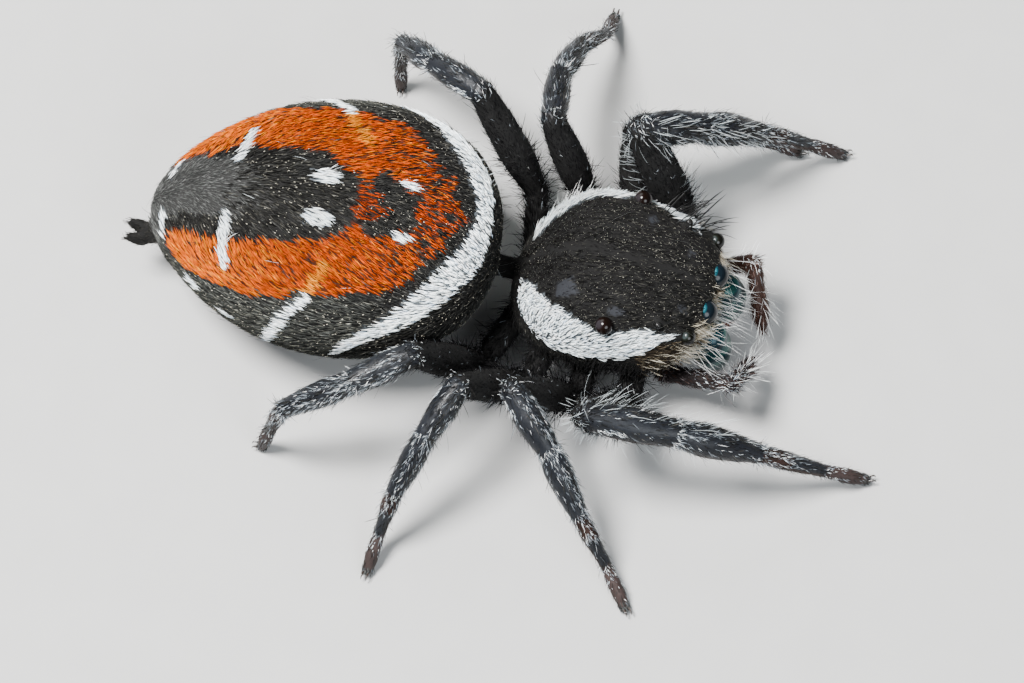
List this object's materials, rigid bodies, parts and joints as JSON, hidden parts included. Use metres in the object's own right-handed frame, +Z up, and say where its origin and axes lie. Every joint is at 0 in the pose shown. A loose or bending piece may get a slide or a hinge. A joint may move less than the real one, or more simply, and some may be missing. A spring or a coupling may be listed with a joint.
{
  "type": "phidippus carneus jumping spider, adult male, still model",
  "caption": "Life-size still model of a jumping spider standing on eight feet, with head shield, eyes, jaws, palps, jointed legs and an egg-shaped abdomen.",
  "frame": {"origin": "centre of the bounding box of the standing spider, on the floor under its feet", "axes": "+Z up, -Y the way the spider faces, +X towards its left"},
  "size_m": [0.014, 0.0164, 0.0047],
  "materials": {
    "shield": "black cuticle under short scales",
    "abdomen": "orange-red and black scales with white marks",
    "spinneret": "dark hairy cuticle",
    "eye": "polished black lens",
    "chelicera": "iridescent green-blue cuticle",
    "palp": "reddish brown cuticle with pale hair",
    "leg": "black cuticle with pale scales"
  },
  "bodies": {
    "root": {"cephalothorax": "shield", "abdomen": "abdomen", "spinnerets": "spinneret", "eye_front_main_left": "eye", "eye_front_main_right": "eye", "eye_front_side_left": "eye", "eye_front_side_right": "eye", "eye_middle_left": "eye", "eye_middle_right": "eye", "eye_rear_left": "eye", "eye_rear_right": "eye", "chelicera_left": "chelicera", "chelicera_right": "chelicera", "palp_left_base": "palp", "palp_left_thigh": "palp", "palp_left_tip": "palp", "palp_right_base": "palp", "palp_right_thigh": "palp", "palp_right_tip": "palp", "leg_right_1_hip": "leg", "leg_right_1_femur": "leg", "leg_right_1_tibia": "leg", "leg_right_1_foot": "leg", "leg_right_2_hip": "leg", "leg_right_2_femur": "leg", "leg_right_2_tibia": "leg", "leg_right_2_foot": "leg", "leg_right_3_hip": "leg", "leg_right_3_femur": "leg", "leg_right_3_tibia": "leg", "leg_right_3_foot": "leg", "leg_right_4_hip": "leg", "leg_right_4_femur": "leg", "leg_right_4_tibia": "leg", "leg_right_4_foot": "leg", "leg_left_1_hip": "leg", "leg_left_1_femur": "leg", "leg_left_1_tibia": "leg", "leg_left_1_foot": "leg", "leg_left_2_hip": "leg", "leg_left_2_femur": "leg", "leg_left_2_tibia": "leg", "leg_left_2_foot": "leg", "leg_left_3_hip": "leg", "leg_left_3_femur": "leg", "leg_left_3_tibia": "leg", "leg_left_3_foot": "leg", "leg_left_4_hip": "leg", "leg_left_4_femur": "leg", "leg_left_4_tibia": "leg", "leg_left_4_foot": "leg"}
  },
  "joints": []
}
